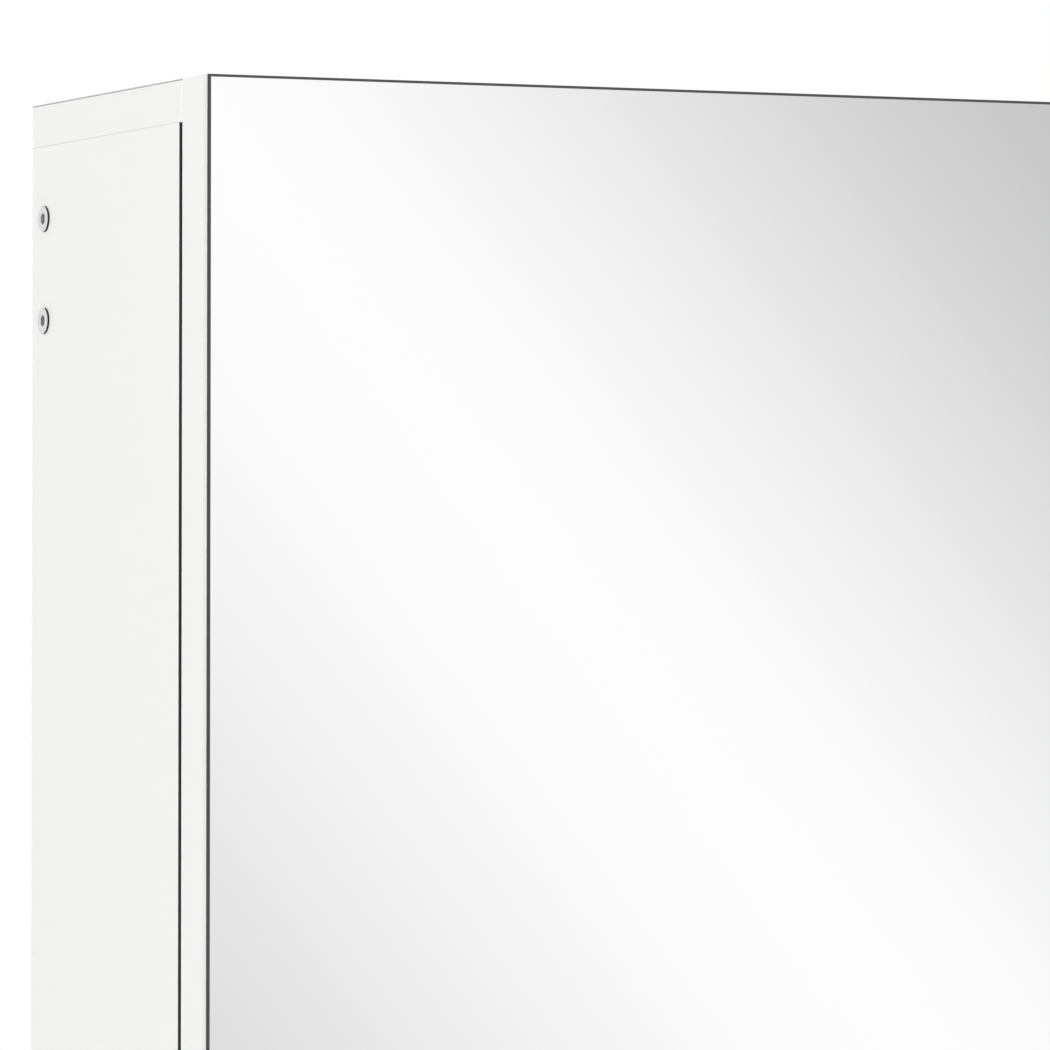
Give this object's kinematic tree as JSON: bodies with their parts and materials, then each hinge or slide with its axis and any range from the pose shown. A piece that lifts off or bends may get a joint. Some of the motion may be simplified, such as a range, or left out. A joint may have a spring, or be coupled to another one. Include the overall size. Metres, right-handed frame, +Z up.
{
  "type": "bathroom mirror cabinet",
  "caption": "Wall-hung bathroom cabinet with two frameless mirror doors on concealed hinges, glass shelves inside and a hanging rail behind the top.",
  "frame": {"origin": "middle of the two wall screw holes, on the wall plane", "axes": "+X to the viewer's right along the cabinet's width, +Y into the wall, +Z up; the mirrors face -Y"},
  "size_m": [0.6014, 0.13, 0.55],
  "materials": {
    "white_board": "melamine-faced board, satin white",
    "white_fibreboard": "lacquered fibreboard",
    "screw_steel": "zinc-plated steel",
    "zinc": "die-cast zinc",
    "beech": "bare beech",
    "shelf_glass": "clear float glass",
    "nickel": "nickel-plated steel",
    "clear_plastic": "clear soft plastic",
    "white_film": "pale backing film",
    "mirror_glass": "silvered float glass"
  },
  "bodies": {
    "carcass": {"top_board": "white_board", "bottom_board": "white_board", "left_side_panel": "white_board", "right_side_panel": "white_board", "centre_partition": "white_board", "hanging_rail": "white_board", "back_panel": "white_fibreboard", "rail_screws": "screw_steel", "cam_housings": "zinc", "cam_bolts": "zinc", "dowels": "beech", "back_panel_pins": "screw_steel", "left_lower_shelf": "shelf_glass", "left_upper_shelf": "shelf_glass", "right_lower_shelf": "shelf_glass", "right_upper_shelf": "shelf_glass", "shelf_pins": "nickel", "door_buffers": "clear_plastic", "left_upper_arm": "nickel", "left_upper_plate": "nickel", "left_upper_arm_pins": "nickel", "left_lower_arm": "nickel", "left_lower_plate": "nickel", "left_lower_arm_pins": "nickel", "right_upper_arm": "nickel", "right_upper_plate": "nickel", "right_upper_arm_pins": "nickel", "right_lower_arm": "nickel", "right_lower_plate": "nickel", "right_lower_arm_pins": "nickel", "plate_screws": "screw_steel", "arm_screws": "screw_steel"},
    "left_door": {"left_door_board": "white_board", "left_safety_film": "white_film", "left_mirror": "mirror_glass", "left_upper_cup": "nickel", "left_upper_cup_pins": "nickel", "left_lower_cup": "nickel", "left_lower_cup_pins": "nickel", "left_cup_screws": "screw_steel"},
    "right_door": {"right_door_board": "white_board", "right_safety_film": "white_film", "right_mirror": "mirror_glass", "right_upper_cup": "nickel", "right_upper_cup_pins": "nickel", "right_lower_cup": "nickel", "right_lower_cup_pins": "nickel", "right_cup_screws": "screw_steel"},
    "left_side_links": {"left_upper_side_links": "nickel", "left_lower_side_links": "nickel"},
    "right_side_links": {"right_upper_side_links": "nickel", "right_lower_side_links": "nickel"},
    "left_middle_links": {"left_upper_middle_link": "nickel", "left_lower_middle_link": "nickel"},
    "right_middle_links": {"right_upper_middle_link": "nickel", "right_lower_middle_link": "nickel"}
  },
  "joints": [
    {"name": "left_door_swing", "type": "hinge", "parent": "left_side_links", "child": "left_door", "pos_m": [-0.29001, -0.1128, -0.221], "axis": [0, 0, -1], "range_deg": [0, 129.63]},
    {"name": "left_side_link_turn", "type": "hinge", "parent": "carcass", "child": "left_side_links", "pos_m": [-0.264, -0.0978, -0.221], "axis": [0, 0, -1], "range_deg": [-38, 0]},
    {"name": "left_middle_link_turn", "type": "hinge", "parent": "carcass", "child": "left_middle_links", "pos_m": [-0.27454, -0.11296, -0.221], "axis": [0, 0, -1], "range_deg": [-61, 0]},
    {"name": "right_door_swing", "type": "hinge", "parent": "right_side_links", "child": "right_door", "pos_m": [0.29001, -0.1128, -0.221], "axis": [0, 0, 1], "range_deg": [0, 129.63]},
    {"name": "right_side_link_turn", "type": "hinge", "parent": "carcass", "child": "right_side_links", "pos_m": [0.264, -0.0978, -0.221], "axis": [0, 0, 1], "range_deg": [-38, 0]},
    {"name": "right_middle_link_turn", "type": "hinge", "parent": "carcass", "child": "right_middle_links", "pos_m": [0.27454, -0.11296, -0.221], "axis": [0, 0, 1], "range_deg": [-61, 0]}
  ],
  "couplings": [
    {"joint": "left_side_link_turn", "follows": "left_door_swing", "ratio": -0.29028},
    {"joint": "left_middle_link_turn", "follows": "left_door_swing", "ratio": -0.46771},
    {"joint": "right_side_link_turn", "follows": "right_door_swing", "ratio": -0.29028},
    {"joint": "right_middle_link_turn", "follows": "right_door_swing", "ratio": -0.46771}
  ]
}
